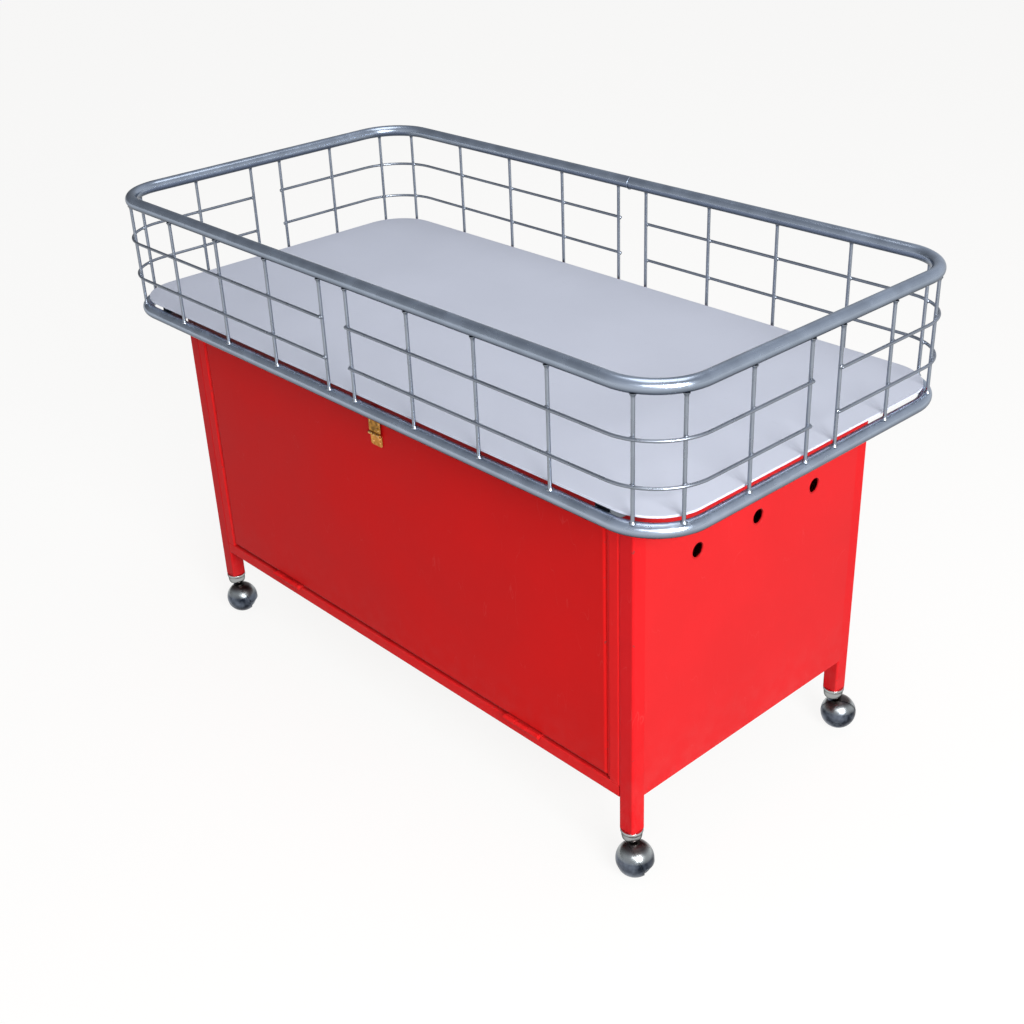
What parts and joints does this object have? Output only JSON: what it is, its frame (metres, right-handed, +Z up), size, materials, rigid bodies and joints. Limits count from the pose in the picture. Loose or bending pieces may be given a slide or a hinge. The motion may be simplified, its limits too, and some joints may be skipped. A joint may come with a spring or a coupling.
{
  "type": "chrome wire sale bin",
  "caption": "Chrome wire sale bin with a white deck on a red steel storage cabinet with a drop-down door, a brass hasp and ball casters.",
  "frame": {"origin": "on the floor, under the middle of the bin", "axes": "+X along the long side, +Y towards the back, the door faces -Y, +Z up"},
  "size_m": [1.2, 0.605, 0.7765],
  "materials": {
    "chrome": "bright chrome plate on steel tube and wire",
    "white_laminate": "white laminated board, semi-gloss",
    "red_paint": "semi-gloss red paint on steel",
    "brass_plate": "brass plate",
    "dark_chrome": "dark polished metal",
    "pin_steel": "plain turned steel"
  },
  "bodies": {
    "frame": {"top_rim": "chrome", "base_rim": "chrome", "wire_panel_front_left": "chrome", "wire_panel_front_right": "chrome", "wire_panel_back_left": "chrome", "wire_panel_back_right": "chrome", "cross_bar_left": "chrome", "cross_bar_right": "chrome", "caster_front_left_socket": "chrome", "caster_front_right_socket": "chrome", "caster_back_left_socket": "chrome", "caster_back_right_socket": "chrome", "deck_panel": "white_laminate", "leg_front_left": "red_paint", "leg_front_right": "red_paint", "leg_back_left": "red_paint", "leg_back_right": "red_paint", "front_bottom_rail": "red_paint", "front_top_rail": "red_paint", "back_bottom_rail": "red_paint", "back_top_rail": "red_paint", "left_bottom_rail": "red_paint", "left_top_rail": "red_paint", "right_bottom_rail": "red_paint", "right_top_rail": "red_paint", "left_door_stile": "red_paint", "right_door_stile": "red_paint", "left_side_panel": "red_paint", "right_side_panel": "red_paint", "back_panel": "red_paint", "cabinet_floor": "red_paint", "left_hinge_frame_leaf": "red_paint", "left_hinge_pin": "red_paint", "right_hinge_frame_leaf": "red_paint", "right_hinge_pin": "red_paint", "hasp_staple": "brass_plate"},
    "door": {"door_panel": "red_paint", "left_hinge_door_leaf": "red_paint", "right_hinge_door_leaf": "red_paint", "hasp_leaf": "brass_plate", "hasp_pin": "brass_plate"},
    "hasp": {"hasp_strap": "brass_plate"},
    "caster_front_left_swivel": {"caster_front_left_hood": "dark_chrome", "caster_front_left_axle": "pin_steel"},
    "caster_front_left_roller": {"caster_front_left_wheel": "dark_chrome"},
    "caster_front_right_swivel": {"caster_front_right_hood": "dark_chrome", "caster_front_right_axle": "pin_steel"},
    "caster_front_right_roller": {"caster_front_right_wheel": "dark_chrome"},
    "caster_back_left_swivel": {"caster_back_left_hood": "dark_chrome", "caster_back_left_axle": "pin_steel"},
    "caster_back_left_roller": {"caster_back_left_wheel": "dark_chrome"},
    "caster_back_right_swivel": {"caster_back_right_hood": "dark_chrome", "caster_back_right_axle": "pin_steel"},
    "caster_back_right_roller": {"caster_back_right_wheel": "dark_chrome"}
  },
  "joints": [
    {"name": "door_drop", "type": "hinge", "parent": "frame", "child": "door", "pos_m": [0, -0.2473, 0.148], "axis": [1, 0, 0], "range_deg": [0, 105]},
    {"name": "hasp_fold", "type": "hinge", "parent": "door", "child": "hasp", "pos_m": [0, -0.2463, 0.517], "axis": [1, 0, 0], "range_deg": [0, 175]},
    {"name": "front_left_swivel", "type": "hinge", "parent": "frame", "child": "caster_front_left_swivel", "pos_m": [-0.4915, -0.2305, 0.07], "axis": [0, 0, 1], "continuous": true},
    {"name": "front_left_roll", "type": "hinge", "parent": "caster_front_left_swivel", "child": "caster_front_left_roller", "pos_m": [-0.4815, -0.2305, 0.02709], "axis": [0, -0.9397, -0.342], "continuous": true},
    {"name": "front_right_swivel", "type": "hinge", "parent": "frame", "child": "caster_front_right_swivel", "pos_m": [0.4915, -0.2305, 0.07], "axis": [0, 0, 1], "continuous": true},
    {"name": "front_right_roll", "type": "hinge", "parent": "caster_front_right_swivel", "child": "caster_front_right_roller", "pos_m": [0.50077, -0.23425, 0.02709], "axis": [-0.352, -0.8713, -0.342], "continuous": true},
    {"name": "back_left_swivel", "type": "hinge", "parent": "frame", "child": "caster_back_left_swivel", "pos_m": [-0.4915, 0.2305, 0.07], "axis": [0, 0, 1], "continuous": true},
    {"name": "back_left_roll", "type": "hinge", "parent": "caster_back_left_swivel", "child": "caster_back_left_roller", "pos_m": [-0.48165, 0.23224, 0.02709], "axis": [0.1632, -0.9254, -0.342], "continuous": true},
    {"name": "back_right_swivel", "type": "hinge", "parent": "frame", "child": "caster_back_right_swivel", "pos_m": [0.4915, 0.2305, 0.07], "axis": [0, 0, 1], "continuous": true},
    {"name": "back_right_roll", "type": "hinge", "parent": "caster_back_right_swivel", "child": "caster_back_right_roller", "pos_m": [0.49969, 0.23624, 0.02709], "axis": [0.539, -0.7698, -0.342], "continuous": true}
  ]
}
